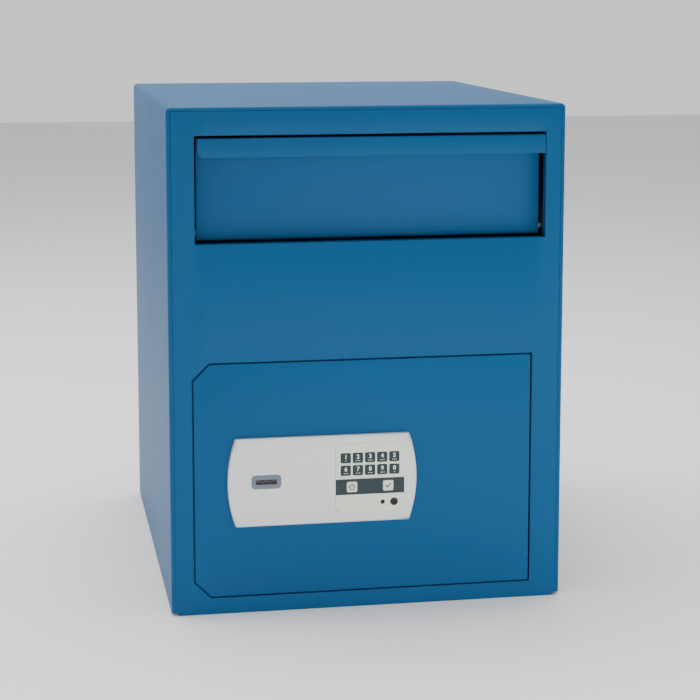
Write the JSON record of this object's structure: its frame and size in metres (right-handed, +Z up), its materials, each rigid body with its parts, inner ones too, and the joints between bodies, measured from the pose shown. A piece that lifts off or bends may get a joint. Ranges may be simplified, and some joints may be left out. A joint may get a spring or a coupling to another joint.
{
  "type": "deposit drop box",
  "caption": "Painted steel deposit box with a tilting front hopper and a keypad-locked collection door.",
  "frame": {"origin": "middle of the footprint, on the surface the box stands on", "axes": "+Z up, front faces -Y, +X to the right seen from the front"},
  "size_m": [0.4, 0.4821, 0.508],
  "materials": {
    "blue_paint": "satin powder coat",
    "bare_steel": "plain steel",
    "zinc_plated": "zinc plated",
    "brass": "plain",
    "bush_plastic": "black acetal",
    "cover_grey": "satin",
    "silver_paint": "satin silver",
    "escutcheon_grey": "satin",
    "black_plastic": "fine grain",
    "cell_wrap": "shrink sleeve",
    "board_green": "solder mask",
    "keypad_plastic": "fine grain",
    "key_dark": "satin",
    "mat_rubber": "matt"
  },
  "bodies": {
    "case": {"body_wrapper": "blue_paint", "front_plate": "blue_paint", "base_plate": "blue_paint", "back_panel": "blue_paint", "door_frame": "blue_paint", "hopper_surround": "blue_paint", "hopper_brackets": "bare_steel", "hopper_bushes": "bush_plastic", "fishing_baffle": "bare_steel", "hinge_brackets": "bare_steel", "hinge_pins": "zinc_plated", "hinge_washers": "brass"},
    "hopper": {"hopper_front": "blue_paint", "hopper_sides": "blue_paint", "hopper_tray": "blue_paint", "hopper_counterweight": "bare_steel", "hopper_pins": "zinc_plated", "hopper_rivets": "zinc_plated"},
    "door": {"door_panel": "blue_paint", "hinge_arms": "bare_steel", "bolt_guide": "zinc_plated", "lock_cover": "cover_grey", "cover_posts": "zinc_plated", "cover_screws": "zinc_plated", "lock_panel": "silver_paint", "panel_studs": "bare_steel", "panel_nuts": "zinc_plated", "key_escutcheon": "escutcheon_grey", "key_lock_case": "zinc_plated", "motor_bracket": "zinc_plated", "gearbox": "black_plastic", "motor": "bare_steel", "battery_holder": "black_plastic", "batteries": "cell_wrap", "circuit_board": "board_green", "keypad_plate": "keypad_plastic", "keypad_band": "key_dark", "keypad_mat": "mat_rubber", "status_light": "black_plastic", "power_socket": "black_plastic"},
    "boltwork": {"bolt_bar": "zinc_plated", "locking_bolts": "bare_steel", "bolt_nuts": "zinc_plated"},
    "pinion": {"drive_pinion": "brass"},
    "barrel": {"key_barrel": "bare_steel", "key_cam": "zinc_plated"},
    "key_1": {"key_1": "key_dark"},
    "key_2": {"key_2": "key_dark"},
    "key_3": {"key_3": "key_dark"},
    "key_4": {"key_4": "key_dark"},
    "key_5": {"key_5": "key_dark"},
    "key_6": {"key_6": "key_dark"},
    "key_7": {"key_7": "key_dark"},
    "key_8": {"key_8": "key_dark"},
    "key_9": {"key_9": "key_dark"},
    "key_0": {"key_0": "key_dark"},
    "key_power": {"key_power": "keypad_plastic"},
    "key_confirm": {"key_confirm": "keypad_plastic"}
  },
  "joints": [
    {"name": "door_swing", "type": "hinge", "parent": "case", "child": "door", "pos_m": [0.18955, -0.2265, 0.1362], "axis": [0, 0, 1], "range_deg": [0, 95]},
    {"name": "hopper_tilt", "type": "hinge", "parent": "case", "child": "hopper", "pos_m": [0.0037, -0.2125, 0.382], "axis": [1, 0, 0], "range_deg": [0, 44]},
    {"name": "bolt_slide", "type": "slide", "parent": "door", "child": "boltwork", "axis": [-1, 0, 0], "range_m": [0, 0.02]},
    {"name": "pinion_turn", "type": "hinge", "parent": "door", "child": "pinion", "pos_m": [-0.07, -0.2135, 0.114], "axis": [0, -1, 0], "range_deg": [0, 96]},
    {"name": "key_turn", "type": "hinge", "parent": "door", "child": "barrel", "pos_m": [-0.1048, -0.23, 0.135], "axis": [0, 1, 0], "range_deg": [0, 90]},
    {"name": "press_1", "type": "slide", "parent": "door", "child": "key_1", "axis": [0, 1, 0], "range_m": [0, 0.0006], "stiffness_N_per_m": 1500},
    {"name": "press_2", "type": "slide", "parent": "door", "child": "key_2", "axis": [0, 1, 0], "range_m": [0, 0.0006], "stiffness_N_per_m": 1500},
    {"name": "press_3", "type": "slide", "parent": "door", "child": "key_3", "axis": [0, 1, 0], "range_m": [0, 0.0006], "stiffness_N_per_m": 1500},
    {"name": "press_4", "type": "slide", "parent": "door", "child": "key_4", "axis": [0, 1, 0], "range_m": [0, 0.0006], "stiffness_N_per_m": 1500},
    {"name": "press_5", "type": "slide", "parent": "door", "child": "key_5", "axis": [0, 1, 0], "range_m": [0, 0.0006], "stiffness_N_per_m": 1500},
    {"name": "press_6", "type": "slide", "parent": "door", "child": "key_6", "axis": [0, 1, 0], "range_m": [0, 0.0006], "stiffness_N_per_m": 1500},
    {"name": "press_7", "type": "slide", "parent": "door", "child": "key_7", "axis": [0, 1, 0], "range_m": [0, 0.0006], "stiffness_N_per_m": 1500},
    {"name": "press_8", "type": "slide", "parent": "door", "child": "key_8", "axis": [0, 1, 0], "range_m": [0, 0.0006], "stiffness_N_per_m": 1500},
    {"name": "press_9", "type": "slide", "parent": "door", "child": "key_9", "axis": [0, 1, 0], "range_m": [0, 0.0006], "stiffness_N_per_m": 1500},
    {"name": "press_0", "type": "slide", "parent": "door", "child": "key_0", "axis": [0, 1, 0], "range_m": [0, 0.0006], "stiffness_N_per_m": 1500},
    {"name": "press_power", "type": "slide", "parent": "door", "child": "key_power", "axis": [0, 1, 0], "range_m": [0, 0.0006], "stiffness_N_per_m": 1500},
    {"name": "press_confirm", "type": "slide", "parent": "door", "child": "key_confirm", "axis": [0, 1, 0], "range_m": [0, 0.0006], "stiffness_N_per_m": 1500}
  ],
  "couplings": [
    {"joint": "pinion_turn", "follows": "bolt_slide", "rad_per_m": 83.333}
  ]
}
